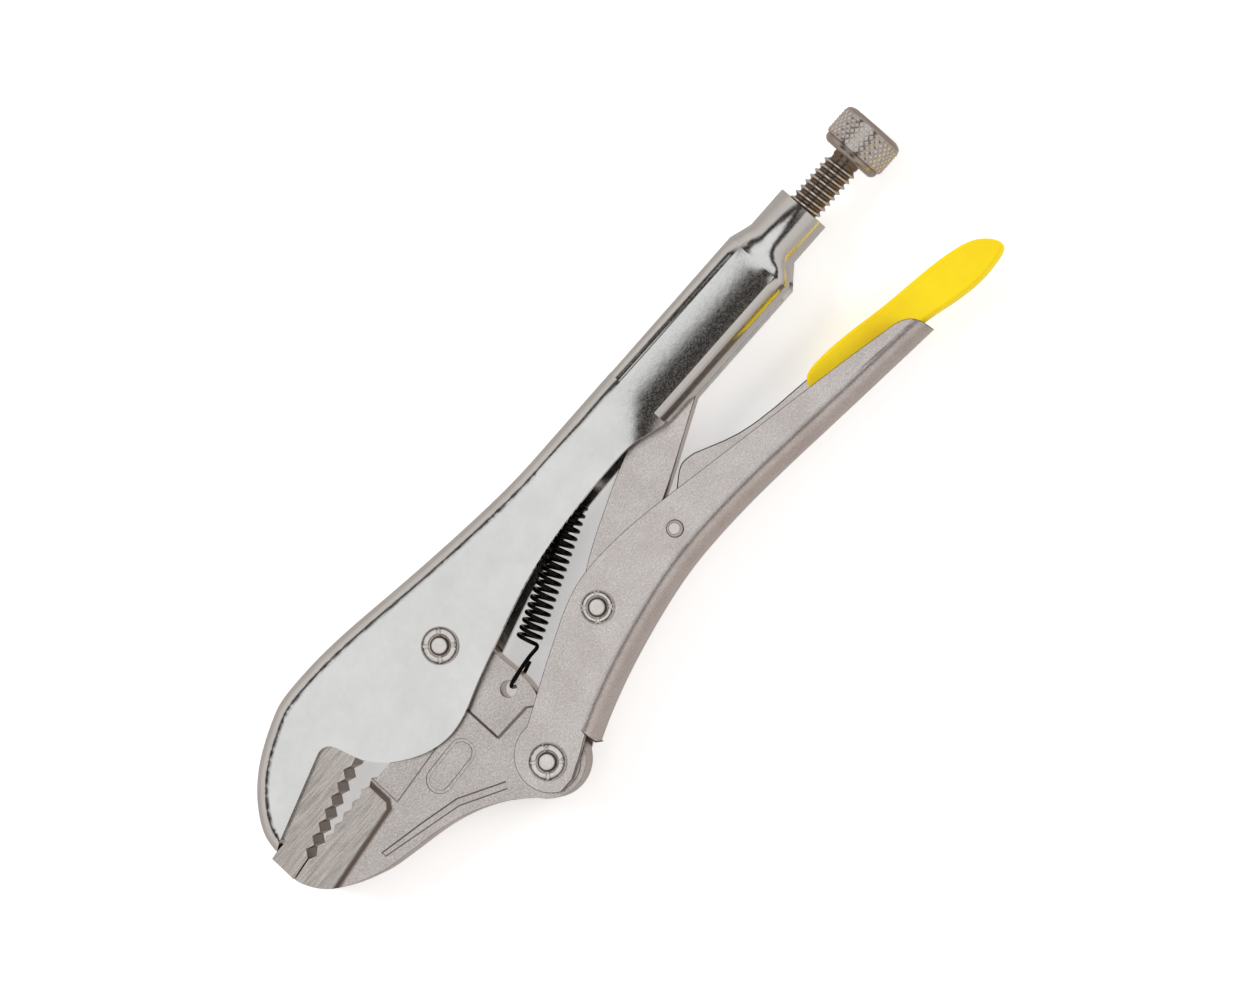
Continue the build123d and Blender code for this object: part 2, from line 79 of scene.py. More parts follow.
print("box in mm:", [round(v / MM, 1) for corner in cad_box for v in corner])

# %% [markdown]
# ## Where things are
# Places are read from the frame: a joint's position is its pivot, and a node's box gives its
# ends. A new piece is built from these places, so it sits where the solid part has it.

# %% Places from the frame
JAW_PIVOT = Vector(joints["jaw_pivot"]["pos_m"])
HANDLE_PIVOT = Vector(joints["handle_pivot"]["pos_m"])
LINK_PIVOT = Vector(joints["link_pivot"]["pos_m"])
LEVER_PIVOT = Vector(joints["lever_pivot"]["pos_m"])
SCREW_AXIS = Vector(joints["knob_turn"]["pos_m"])
MIDDLE = (cad_box[0].z + cad_box[1].z) / 2
print("jaw rivet at", [round(v / MM, 2) for v in JAW_PIVOT])

# %% [markdown]
# ## Small helpers
# A colour is written as it is read off a paint card, as sRGB hex, and one function turns it to
# the linear values the renderer works in. A second small function adds a node with its
# settings and links, so that a material reads as a list of what it is made of.

# %% Colour and node helpers
def colour(code):
    """Linear RGBA of an sRGB hex colour."""
    parts = [int(code[i:i + 2], 16) / 255 for i in (1, 3, 5)]
    linear = [c / 12.92 if c <= 0.04045 else ((c + 0.055) / 1.055) ** 2.4 for c in parts]
    return (*linear, 1.0)


def add(tree, kind, settings=None, **links):
    """Add a node; settings are its properties, links feed its inputs with values or sockets."""
    node = tree.nodes.new(kind)
    for name, value in (settings or {}).items():
        setattr(node, name, value)
    for name, value in links.items():
        key = int(name[1:]) if name[0] == "i" and name[1:].isdigit() else name.replace("_", " ")
        if isinstance(value, bpy.types.NodeSocket):
            tree.links.new(value, node.inputs[key])
        else:
            node.inputs[key].default_value = value
    return node


def ramp(tree, source, stops):
    """A colour ramp over a value, from (place, grey or hex) stops."""
    node = add(tree, "ShaderNodeValToRGB", Fac=source)
    spots = node.color_ramp.elements
    while len(spots) < len(stops):
        spots.new(0.5)
    for spot, (place, tone) in zip(spots, stops):
        spot.position = place
        spot.color = colour(tone) if isinstance(tone, str) else (tone, tone, tone, 1)
    return node.outputs["Color"]


def material(name):
    """An empty material with its shader and output, and the tree to add nodes to."""
    made = bpy.data.materials.new(name)
    made.use_nodes = True
    return made, made.node_tree, made.node_tree.nodes["Principled BSDF"]


def finish_with(node_names, made):
    """Give CAD nodes or new pieces their material in place of the one they came with."""
    for name in node_names:
        piece = bpy.data.objects[name]
        piece.data.materials.clear()
        piece.data.materials.append(made)


# %% [markdown]
# ## Plated and ground steel
# Most metal here is steel under nickel. What differs is what happened before plating: the
# fixed handle was polished, so it mirrors the room with only a faint orange peel; the moving
# handle and the link were tumbled, which leaves a fine grain; the forging keeps the pebbled
# skin of its die; the jaw noses were ground after forging, which leaves lines along them. Real
# grain is finer than a picture of the whole tool can show, so it is drawn a few times coarser.

# %% Nickel finishes
REAR_FADE = (-88 * MM, -72 * MM)      # along the screw, from the knob: where the roll begins
SLEEVE_FADE = (-35 * MM, -29 * MM)    # and where it ends at the screw's sleeve
BELT_LINE = 0.42 * MM                 # width of a belt line, drawn wider than it is
BELT_RANGE = (0.36, 0.60)             # the middle of that noise, where its tone changes


def rolled_rear(tree, place, under):
    """The sheet is rolled round at the rear, so the wall there is slightly barrelled."""
    spot = add(tree, "ShaderNodeSeparateXYZ", Vector=place)
    height_y = spot.outputs["Y"]
    up = add(tree, "ShaderNodeMath", {"operation": "SUBTRACT"}, i0=height_y, i1=SCREW_AXIS.y).outputs[0]
    lean = add(tree, "ShaderNodeMath", {"operation": "MULTIPLY_ADD"}, i0=up, i1=-9.0, i2=0.19).outputs[0]
    drop = add(tree, "ShaderNodeMath", {"operation": "MULTIPLY"}, i0=up, i1=lean).outputs[0]
    rear = add(
        tree, "ShaderNodeMapRange", {"interpolation_type": "SMOOTHSTEP"},
        Value=spot.outputs["X"],
        i1=SCREW_AXIS.x + REAR_FADE[0], i2=SCREW_AXIS.x + REAR_FADE[1], i3=0.0, i4=1.0,
    ).outputs["Result"]
    sleeve = add(
        tree, "ShaderNodeMapRange", {"interpolation_type": "SMOOTHSTEP"},
        Value=spot.outputs["X"],
        i1=SCREW_AXIS.x + SLEEVE_FADE[0], i2=SCREW_AXIS.x + SLEEVE_FADE[1], i3=1.0, i4=0.0,
    ).outputs["Result"]
    share = add(tree, "ShaderNodeMath", {"operation": "MULTIPLY"}, i0=rear, i1=sleeve).outputs[0]
    height = add(tree, "ShaderNodeMath", {"operation": "MULTIPLY"}, i0=drop, i1=share).outputs[0]
    return add(
        tree, "ShaderNodeBump", Height=height, Normal=under.outputs["Normal"], Strength=1.0, Distance=1.0
    )


def ground_lines(tree, place, under):
    """Fine lines left along the tool's length by a grinding belt."""
    return add(
        tree, "ShaderNodeBump", Height=belt_pattern(tree, place), Normal=under.outputs["Normal"],
        Strength=1.0, Distance=0.03 * MM,
    )


def shaded(tree, base, pattern, low, high, darkest):
    """The base colour, darkened where a pattern is low."""
    share = add(
        tree, "ShaderNodeMapRange", Value=pattern, i1=low, i2=high, i3=darkest, i4=1.0
    ).outputs["Result"]
    grey = add(tree, "ShaderNodeCombineColor", Red=share, Green=share, Blue=share).outputs["Color"]
    multiply = {"data_type": "RGBA", "blend_type": "MULTIPLY"}
    return add(tree, "ShaderNodeMix", multiply, i0=1.0, i6=base, i7=grey).outputs[2]


def belt_pattern(tree, place):
    """Noise drawn out along the tool's length, as a grinding belt leaves it."""
    lean = (0, 0, math.radians(-6))
    stretched = add(tree, "ShaderNodeMapping", Vector=place, Rotation=lean, Scale=(0.05, 1, 1))
    return add(
        tree, "ShaderNodeTexNoise", Vector=stretched.outputs["Vector"],
        Scale=1 / BELT_LINE, Detail=4.0, Roughness=0.7,
    ).outputs["Fac"]


def edge_on(tree, place_normal):
    """One where a face stands upright, zero where it lies flat."""
    upright = add(tree, "ShaderNodeSeparateXYZ", Vector=place_normal).outputs["Z"]
    size = add(tree, "ShaderNodeMath", {"operation": "ABSOLUTE"}, i0=upright).outputs[0]
    return add(tree, "ShaderNodeMath", {"operation": "LESS_THAN"}, i0=size, i1=0.45).outputs[0]


def stroke(tree, spot, start, end, half_mm):
    """One near a straight line between two places given from the jaw rivet in mm, fading off it."""
    x0, y0, x1, y1 = (*start, *end)
    length = math.hypot(x1 - x0, y1 - y0)
    along = Vector(((x1 - x0) / length, (y1 - y0) / length, 0))
    middle = JAW_PIVOT + Vector(((x0 + x1) / 2, (y0 + y1) / 2, 0)) * MM
    off = add(tree, "ShaderNodeVectorMath", {"operation": "SUBTRACT"}, i0=spot, i1=middle).outputs[0]
    reach = []
    for way in (along, Vector((-along.y, along.x, 0))):
        far = add(tree, "ShaderNodeVectorMath", {"operation": "DOT_PRODUCT"}, i0=off, i1=way).outputs["Value"]
        reach.append(add(tree, "ShaderNodeMath", {"operation": "ABSOLUTE"}, i0=far).outputs[0])
    inside = add(
        tree, "ShaderNodeMapRange", Value=reach[0],
        i1=(length / 2 - 0.1) * MM, i2=(length / 2 + 0.3) * MM, i3=1.0, i4=0.0,
    ).outputs["Result"]
    near = add(
        tree, "ShaderNodeMapRange", Value=reach[1],
        i1=half_mm * 0.5 * MM, i2=half_mm * 1.5 * MM, i3=0.8, i4=0.0,
    ).outputs["Result"]
    return add(tree, "ShaderNodeMath", {"operation": "MULTIPLY"}, i0=inside, i1=near).outputs[0]


# Low steps in the forging, darkened as lines of painted shade: start and end from the jaw rivet, and half
# width, in mm.
FORGED_STEPS = [
    ((-7.3, -12.0), (-7.2, -24.4), 0.28), ((-7.2, -24.6), (2.8, -24.8), 0.42),
    ((2.8, -24.8), (4.8, -26.5), 0.25),
    ((-34.8, -16.7), (-20.0, -15.2), 0.16), ((-20.0, -15.2), (-12.5, -14.6), 0.16),
    ((-46.2, -22.1), (-34.5, -24.5), 0.16), ((-34.5, -24.5), (-24.5, -26.9), 0.16),
    ((-24.5, -26.9), (-13.6, -32.9), 0.16), ((-46.2, -23.3), (-35.0, -26.0), 0.16),
    ((-35.0, -26.0), (-25.3, -28.4), 0.16), ((-25.3, -28.4), (-14.6, -34.2), 0.16),
]


def ground_pad(tree, place, base, pebbled, under, from_mm):
    """Above a height from the middle plane the skin has been ground off; the slope below and the low steps
    are darkened with painted shade.
    """
    spot = add(tree, "ShaderNodeSeparateXYZ", Vector=place)
    above = add(tree, "ShaderNodeMath", {"operation": "SUBTRACT"}, i0=spot.outputs["Z"], i1=MIDDLE).outputs[0]
    height = add(tree, "ShaderNodeMath", {"operation": "ABSOLUTE"}, i0=above).outputs[0]
    nose_end = JAW_PIVOT.x - 30 * MM
    nose = add(tree, "ShaderNodeMath", {"operation": "LESS_THAN"}, i0=spot.outputs["X"], i1=nose_end)
    top = add(tree, "ShaderNodeMath", {"operation": "GREATER_THAN"}, i0=height, i1=(from_mm - 0.12) * MM)
    slope = add(
        tree, "ShaderNodeMapRange", Value=height, i1=4.36 * MM, i2=4.55 * MM, i3=0.0, i4=0.85
    ).outputs["Result"]
    step_and_slope_shade = add(tree, "ShaderNodeMath", {"operation": "MULTIPLY"}, i0=slope, i1=nose.outputs[0]).outputs[0]
    for start, end, half_mm in FORGED_STEPS:
        mark = stroke(tree, place, start, end, half_mm)
        step_and_slope_shade = add(tree, "ShaderNodeMath", {"operation": "MAXIMUM"}, i0=step_and_slope_shade, i1=mark).outputs[0]
    # Painted shade: the nose's slope and the forging's low steps are darkened towards this brown.
    dim = add(tree, "ShaderNodeMix", {"data_type": "RGBA"}, i0=step_and_slope_shade, i6=base, i7=colour("#5E5048"))
    steel = shaded(tree, colour("#E2DAD4"), belt_pattern(tree, place), *BELT_RANGE, 0.62)
    tone = add(tree, "ShaderNodeMix", {"data_type": "RGBA"}, i0=top.outputs[0], i6=dim.outputs[2], i7=steel)
    belt = ground_lines(tree, place, under)
    share = add(
        tree, "ShaderNodeMix", {"data_type": "VECTOR"}, i0=top.outputs[0],
        i4=pebbled.outputs["Normal"], i5=belt.outputs["Normal"],
    )
    return tone.outputs[2], share.outputs[1]


def nickel(
    name, tone, dark, rough, rough_spread, grain_mm, grain_height_mm, peel_mm, peel_height_mm,
    barrel=False, ground=False, ground_from_mm=0.0, speckle=0.0,
):
    """Nickel-plated steel with a grain, a slower waviness and a little cloudiness."""
    made, tree, shader = material(name)
    place = add(tree, "ShaderNodeTexCoord").outputs["Object"]
    cloud = add(tree, "ShaderNodeTexNoise", Vector=place, Scale=1 / (9 * MM), Detail=4.0, Roughness=0.6)
    grain = add(tree, "ShaderNodeTexNoise", Vector=place, Scale=1 / (grain_mm * MM), Detail=2.0)
    peel = add(tree, "ShaderNodeTexNoise", Vector=place, Scale=1 / (peel_mm * MM), Detail=1.0)
    base = ramp(tree, cloud.outputs["Fac"], [(0.3, dark), (0.7, tone)])
    if speckle:
        base = shaded(tree, base, add(
            tree, "ShaderNodeTexNoise", Vector=place, Scale=1 / (0.42 * MM), Detail=3.0, Roughness=0.7
        ).outputs["Fac"], *BELT_RANGE, 1 - speckle)
    gloss = add(
        tree, "ShaderNodeMapRange", Value=grain.outputs["Fac"],
        i1=0.3, i2=0.7, i3=rough - rough_spread, i4=rough + rough_spread,
    )
    wave = add(
        tree, "ShaderNodeBump", Height=peel.outputs["Fac"],
        Strength=1.0, Distance=peel_height_mm * MM,
    )
    if barrel:
        wave = rolled_rear(tree, place, wave)
    if ground:
        wave = ground_lines(tree, place, wave)
        base = shaded(tree, base, belt_pattern(tree, place), *BELT_RANGE, 0.62)
        # Upright faces, such as the tooth flanks and the jaw's ends, are darkened to a brown: painted shade.
        flank = edge_on(tree, add(tree, "ShaderNodeTexCoord").outputs["Normal"])
        flank_painted_shade = colour("#6E625A")
        base = add(tree, "ShaderNodeMix", {"data_type": "RGBA"}, i0=flank, i6=base, i7=flank_painted_shade).outputs[2]
    bump = add(
        tree, "ShaderNodeBump", Height=grain.outputs["Fac"], Normal=wave.outputs["Normal"],
        Strength=1.0, Distance=grain_height_mm * MM,
    )
    normal = bump.outputs["Normal"]
    if ground_from_mm:
        base, normal = ground_pad(tree, place, base, bump, wave, ground_from_mm)
    shader.inputs["Metallic"].default_value = 1.0
    tree.links.new(base, shader.inputs["Base Color"])
    tree.links.new(gloss.outputs["Result"], shader.inputs["Roughness"])
    tree.links.new(normal, shader.inputs["Normal"])
    return made


# Each finish: name, tone, its darker cloud, roughness and its spread, then the grain's size and
# height and the slower wave's size and height in mm.
# Polished plate mirrors the room, and its faint waves bend what it mirrors.
bright_nickel = nickel(
    "bright_nickel_plate", "#ECECEB", "#E2E2E0", 0.17, 0.05, 0.45, 0.006, 2.5, 0.018, barrel=True
)
# Tumbled plate is duller, with a fine speckle.
satin_nickel = nickel(
    "satin_nickel_plate", "#F2EBE8", "#E2DAD6", 0.32, 0.08, 0.25, 0.008, 1.6, 0.02, speckle=0.22
)
# The forging is rougher still, and its nose above this height is ground.
forged_nickel = nickel(
    "nickel_over_forging", "#F2EBE8", "#E0D8D3", 0.34, 0.10, 0.25, 0.012, 1.2, 0.03,
    ground_from_mm=5.25, speckle=0.30,
)
ground_nose = nickel(
    "ground_nose_steel", "#E2DAD4", "#D2C9C2", 0.28, 0.06, 0.4, 0.006, 1.2, 0.01, ground=True
)
# A thin brown line of painted shade, for the bevelled edges where parts meet and for the rivets' grooves.
painted_shade_line = nickel(
    "painted_shade_line_steel", "#7A6C63", "#52463F", 0.40, 0.10, 0.4, 0.02, 1.2, 0.02
)
rivet_steel = nickel("peened_rivet_steel", "#EDEAE7", "#DAD5D0", 0.20, 0.06, 0.5, 0.01, 1.2, 0.03)
# Oiled black oxide: nearly black, with a soft shine.
spring_steel = nickel(
    "black_oxide_spring_wire", "#2A2724", "#1C1A18", 0.30, 0.06, 0.3, 0.004, 1.0, 0.004
)
finishes = [
    bright_nickel, satin_nickel, forged_nickel, ground_nose, painted_shade_line, rivet_steel, spring_steel
]
print("nickel finishes:", [made.name for made in finishes])

# %% [markdown]
# ## Turned steel
# The screw and its knob are coloured lighter at the crests and darker in the grooves.
# Distance from the screw's axis tells the two apart, so one function does thread and knurl.

# %% Turned steel, dark in its grooves
def grooved(name, tone, groove, low_mm, high_mm, rough):
    """Steel that is lighter at its crests and darker in its grooves, nearer the screw's axis."""
    made, tree, shader = material(name)
    place = add(tree, "ShaderNodeTexCoord").outputs["Object"]
    off = add(tree, "ShaderNodeVectorMath", {"operation": "SUBTRACT"}, i0=place, i1=SCREW_AXIS).outputs[0]
    round_only = add(tree, "ShaderNodeVectorMath", {"operation": "MULTIPLY"}, i0=off, i1=(0, 1, 1)).outputs[0]
    far = add(tree, "ShaderNodeVectorMath", {"operation": "LENGTH"}, i0=round_only).outputs["Value"]
    share = add(tree, "ShaderNodeMapRange", Value=far, i1=low_mm * MM, i2=high_mm * MM).outputs["Result"]
    grain = add(tree, "ShaderNodeTexNoise", Vector=place, Scale=1 / (0.3 * MM), Detail=3.0)
    base = ramp(tree, share, [(0.0, groove), (1.0, tone)])
    base = shaded(tree, base, grain.outputs["Fac"], 0.35, 0.6, 0.8)
    bump = add(tree, "ShaderNodeBump", Height=grain.outputs["Fac"], Strength=1.0, Distance=0.008 * MM)
    shader.inputs["Metallic"].default_value = 1.0
    shader.inputs["Roughness"].default_value = rough
    tree.links.new(base, shader.inputs["Base Color"])
    tree.links.new(bump.outputs["Normal"], shader.inputs["Normal"])
    return made


thread_steel = grooved("thread_steel_darker_in_grooves", "#F4ECE4", "#85776B", 3.5, 4.1, 0.28)
knurl_steel = grooved("knurl_steel_darker_in_grooves", "#F8F5F2", "#C2B8B0", 7.85, 8.12, 0.24)
print("turned finishes:", thread_steel.name, knurl_steel.name)

# %% [markdown]
# ## Dipped grip
# The lever's tail is dipped in hot liquid vinyl and cured. That leaves slow waves, a soft shine
# and a little light passing under the skin, so the shader has a small subsurface share.

# %% Yellow dip
def dipped_vinyl():
    """Cured plastisol: smooth, with slow waves and a very fine skin."""
    made, tree, shader = material("yellow_dipped_vinyl")
    place = add(tree, "ShaderNodeTexCoord").outputs["Object"]
    slow = add(tree, "ShaderNodeTexNoise", Vector=place, Scale=1 / (14 * MM), Detail=2.0)
    fine = add(tree, "ShaderNodeTexNoise", Vector=place, Scale=1 / (0.8 * MM), Detail=2.0)
    base = ramp(tree, slow.outputs["Fac"], [(0.3, "#F0CE06"), (0.7, "#F8DE10")])
    waves = add(tree, "ShaderNodeBump", Height=slow.outputs["Fac"], Strength=1.0, Distance=0.3 * MM)
    bump = add(
        tree, "ShaderNodeBump", Height=fine.outputs["Fac"], Normal=waves.outputs["Normal"],
        Strength=1.0, Distance=0.006 * MM,
    )
    tree.links.new(base, shader.inputs["Base Color"])
    tree.links.new(bump.outputs["Normal"], shader.inputs["Normal"])
    shader.inputs["Roughness"].default_value = 0.32
    shader.inputs["Specular IOR Level"].default_value = 0.35
    shader.inputs["Subsurface Weight"].default_value = 0.15
    shader.inputs["Subsurface Radius"].default_value = (0.004, 0.003, 0.0006)
    return made


yellow_vinyl = dipped_vinyl()
print("grip:", yellow_vinyl.name)

# %% [markdown]
# ## Finishes and edges
# The solid pieces keep their shape and get their finish. Their edges get a small bevel, because
# a sheared edge is never quite sharp and its rim is what the eye follows. The solid's mesh is
# loose triangles, so it is welded and its flats dissolved first; the bevel then runs clean.

# %% Finishes on the pieces the frame already has
finish_with(["upper_handle", "spring_pin"], bright_nickel)
finish_with(["lower_handle", "toggle_link", "release_lever"], satin_nickel)
finish_with(["moving_jaw"], forged_nickel)
finish_with(["fixed_jaw"], ground_nose)
finish_with(["lever_pin"], rivet_steel)
finish_with(["release_grip"], yellow_vinyl)

# %% Softened edges
def soften(names, width_mm, flat=1.0, clamp=True, angle=35.0):
    """Round the sheared edges a little and colour the bevel dark: painted shade where parts meet.

    Clamping keeps a bevel from crossing itself, but one very short edge then shrinks it
    everywhere. Pieces with such an edge go unclamped, and narrow enough not to cross.
    """
    for name in names:
        piece = bpy.data.objects[name]
        piece.data.materials.append(painted_shade_line)
        weld = piece.modifiers.new("weld", "WELD")
        weld.merge_threshold = 0.00001
        plain = piece.modifiers.new("flats", "DECIMATE")
        plain.decimate_type = "DISSOLVE"
        plain.angle_limit = math.radians(flat)
        bevel = piece.modifiers.new("edges", "BEVEL")
        bevel.width = width_mm * MM
        bevel.segments = 2
        bevel.limit_method = "ANGLE"
        bevel.angle_limit = math.radians(angle)
        bevel.use_clamp_overlap = clamp
        bevel.harden_normals = True
        # The bevel takes slot 1, the dark line of painted shade.
        bevel.material = 1
        print(name, "edges", width_mm, "mm")


soften(["upper_handle"], 0.3)
soften(["moving_jaw", "fixed_jaw"], 0.35)
soften(["release_lever"], 0.3, flat=4.0)
soften(["lower_handle", "toggle_link"], 0.15, clamp=False, angle=60.0)

# %% [markdown]
# ## Modelling helpers
# Pieces are made as by hand: a primitive, edit mode, a few operators. Operators act on what is
# selected, so each step first deselects everything and then picks faces or edges by where
# they are. A turned piece starts as a disc and is extruded ring by ring, the way a lathe
# profile is read: each ring has a height along the axis and a radius.

# %% Selecting, editing and settling
def only(piece):
    """Leave just this piece selected and active."""
    bpy.ops.object.select_all(action="DESELECT")
    piece.select_set(True)
    bpy.context.view_layer.objects.active = piece


def pick(test):
    """In edit mode, select the faces whose middle passes the test, and count them."""
    bpy.ops.mesh.select_mode(type="FACE")
    bpy.ops.mesh.select_all(action="DESELECT")
    mesh = bmesh.from_edit_mesh(bpy.context.object.data)
    count = 0
    for item in mesh.faces:
        spots = [v.co for v in item.verts]
        middle = sum(spots, Vector()) / len(spots)
        if test(middle):
            item.select_set(True)
            count += 1
    mesh.select_flush_mode()
    bmesh.update_edit_mesh(bpy.context.object.data)
    return count


def turned(name, rings, sides):
    """A closed lathe shape about Z from (height, radius) rings in mm, from the bottom up."""
    bpy.ops.object.select_all(action="DESELECT")
    height, radius = rings[0]
    bpy.ops.mesh.primitive_circle_add(
        vertices=sides, radius=radius * MM, fill_type="NGON", location=(0, 0, 0)
    )
    piece = bpy.context.object
    piece.name = name
    bpy.ops.object.mode_set(mode="EDIT")
    bpy.ops.mesh.select_mode(type="FACE")
    bpy.ops.mesh.select_all(action="SELECT")
    bpy.ops.transform.translate(value=(0, 0, height * MM))
    for next_height, next_radius in rings[1:]:
        bpy.ops.mesh.extrude_region_move(
            TRANSFORM_OT_translate={"value": (0, 0, (next_height - height) * MM)}
        )
        share = next_radius / radius
        bpy.ops.transform.resize(value=(share, share, 1), center_override=(0, 0, 0))
        height, radius = next_height, next_radius
    bpy.ops.mesh.select_all(action="SELECT")
    bpy.ops.mesh.normals_make_consistent(inside=False)
    bpy.ops.object.mode_set(mode="OBJECT")
    return piece


def settle(piece, place=None, angle=40.0):
    """Move the mesh to its place, leave the object at the origin, smooth its gentle angles."""
    if place is not None:
        piece.data.transform(place)
    only(piece)
    bpy.ops.object.transform_apply(location=True, rotation=True, scale=True)
    bpy.ops.object.shade_smooth_by_angle(angle=math.radians(angle))
    print(piece.name, len(piece.data.polygons), "faces")
    return piece


# %% [markdown]
# ## Rivets
# A shouldered rivet is put through the walls and its end is pressed over: a low cone with a
# groove round a flat centre, coloured dark as painted shade, and four creases where the staking
# tool struck. The cone is turned, then four narrow strips of it are pushed in.

# %% Rivet heads
WALL_TOP = 6.85      # outside of the handle wall from the middle plane, in mm
PEAK = 8.3           # top of the peened centre
GROOVE = (1.98, 2.3)  # radii of the dark groove round that centre


def staked_rivet(name, node, pivot, ring, body, lift=0.0):
    """A rivet with the same pressed head on both sides, in place of the plain solid."""
    half = [
        (WALL_TOP + lift, 2.9), (WALL_TOP + lift, ring), (WALL_TOP + 0.5, ring),
        (WALL_TOP + 0.85, ring - 0.25), (WALL_TOP + 1.0, ring - 0.65), (WALL_TOP + 1.04, 2.95),
        (WALL_TOP + 0.95, 2.65), (WALL_TOP + 0.6, 2.35), (WALL_TOP + 0.55, 2.05),
        (PEAK - 0.25, 1.9), (PEAK - 0.06, 1.7), (PEAK, 1.0),
    ]
    rings = [(-h, r) for h, r in reversed(half)] + half
    rivet = turned(name, rings, 72)
    only(rivet)
    bpy.ops.object.mode_set(mode="EDIT")

    def crease(middle):
        far = math.hypot(middle.x, middle.y) / MM
        turn = (math.degrees(math.atan2(middle.y, middle.x)) - 45) % 90
        return 2.7 < far < ring - 0.6 and min(turn, 90 - turn) < 4 and abs(middle.z) > (WALL_TOP + 0.9) * MM

    for side in (1, -1):
        pick(lambda middle: crease(middle) and middle.z * side > 0)
        bpy.ops.transform.translate(value=(0, 0, -0.30 * side * MM))
    bpy.ops.object.mode_set(mode="OBJECT")
    settle(rivet, Matrix.Translation((pivot.x, pivot.y, MIDDLE)), 32)
    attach(rivet, body)
    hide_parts(node)
    rivet.data.materials.append(rivet_steel)
    rivet.data.materials.append(painted_shade_line)
    # Faces in the groove take the dark line material: painted shade in the recess.
    for face in rivet.data.polygons:
        far = math.hypot(face.center.x - pivot.x, face.center.y - pivot.y) / MM
        face.material_index = int(GROOVE[0] < far < GROOVE[1])
    return rivet


staked_rivet("jaw_rivet_head", "jaw_rivet", JAW_PIVOT, 4.6, "fixed_handle")
staked_rivet("handle_rivet_head", "handle_rivet", HANDLE_PIVOT, 4.6, "moving_jaw", 0.1)
staked_rivet("link_rivet_head", "link_rivet", LINK_PIVOT, 4.1, "moving_handle")

# %% [markdown]
# ## Knurled knob
# A diamond knurl is rolled in, so it is a grid of small pyramids. Poking a grid of squares
# draws both diagonals of each square; dissolving the squares' own sides leaves diamonds, and
# poking those with a little height raises each to a point.

# %% Knob
KNOB_LENGTH, KNOB_R = 10.2, 8.3
KNURL_SIDES, KNURL_ROWS = 32, 4
KNURL_DEPTH = 0.32
BAND = (2.1, 9.0)     # the knurled stretch along the knob


def knurled_knob():
    """The screw's head: plain band, knurled rim, dished end."""
    step = (BAND[1] - BAND[0]) / KNURL_ROWS
    low = KNOB_R - KNURL_DEPTH
    rings = [(0.0, 4.4), (0.0, 6.3), (0.35, 7.0), (0.9, 7.45), (1.6, 7.62), (1.9, 7.5)]
    rings += [(BAND[0] + i * step, low) for i in range(KNURL_ROWS + 1)]
    rings += [(9.45, low - 0.25), (9.9, low - 0.9), (KNOB_LENGTH, low - 1.8), (KNOB_LENGTH - 0.25, 5.2),
              (KNOB_LENGTH - 0.25, 2.0)]
    knob = turned("knurled_knob", rings, KNURL_SIDES)
    only(knob)
    bpy.ops.object.mode_set(mode="EDIT")

    def on_band(middle, margin):
        along = BAND[0] + margin < middle.z / MM < BAND[1] - margin
        return along and math.hypot(middle.x, middle.y) > 7.0 * MM

    bmesh.from_edit_mesh(knob.data).edges.layers.int.new("square_side")
    pick(lambda middle: on_band(middle, 0))
    mesh = bmesh.from_edit_mesh(knob.data)
    marks = mesh.edges.layers.int.get("square_side")
    for edge in mesh.edges:
        edge[marks] = int(all(face.select for face in edge.link_faces))
    bmesh.update_edit_mesh(knob.data)
    bpy.ops.mesh.poke(offset=0.0)
    mesh = bmesh.from_edit_mesh(knob.data)
    marks = mesh.edges.layers.int.get("square_side")
    bpy.ops.mesh.select_all(action="DESELECT")
    bpy.ops.mesh.select_mode(type="EDGE")
    for edge in mesh.edges:
        edge.select_set(edge[marks] == 1 and len(edge.link_faces) == 2)
    bmesh.update_edit_mesh(knob.data)
    bpy.ops.mesh.dissolve_edges(use_verts=False)
    bpy.ops.mesh.select_mode(type="FACE")
    count = pick(lambda middle: on_band(middle, step * 0.4))
    bpy.ops.mesh.inset(thickness=0.10 * MM, use_individual=True)
    bpy.ops.mesh.poke(offset=KNURL_DEPTH * MM)
    bpy.ops.mesh.select_all(action="SELECT")
    bpy.ops.mesh.normals_make_consistent(inside=False)
    bpy.ops.object.mode_set(mode="OBJECT")
    print("diamonds:", count)
    turn = Matrix.Translation(SCREW_AXIS) @ Matrix.Rotation(math.radians(90), 4, "Y")
    settle(knob, turn, 20)
    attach(knob, "screw_knob")
    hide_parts("screw_knob")
    knob.data.materials.append(knurl_steel)
    return knob


knurled_knob()

# %% [markdown]
# ## Adjusting screw
# A rolled thread is one helix. The Screw modifier winds a single tooth of the thread round the
# axis, one pitch higher each turn, and merges each turn with the next.

# %% Screw with a true helix
PITCH, ROOT_R, CREST_R = 1.7, 3.45, 4.2
THREAD_STEPS = 32


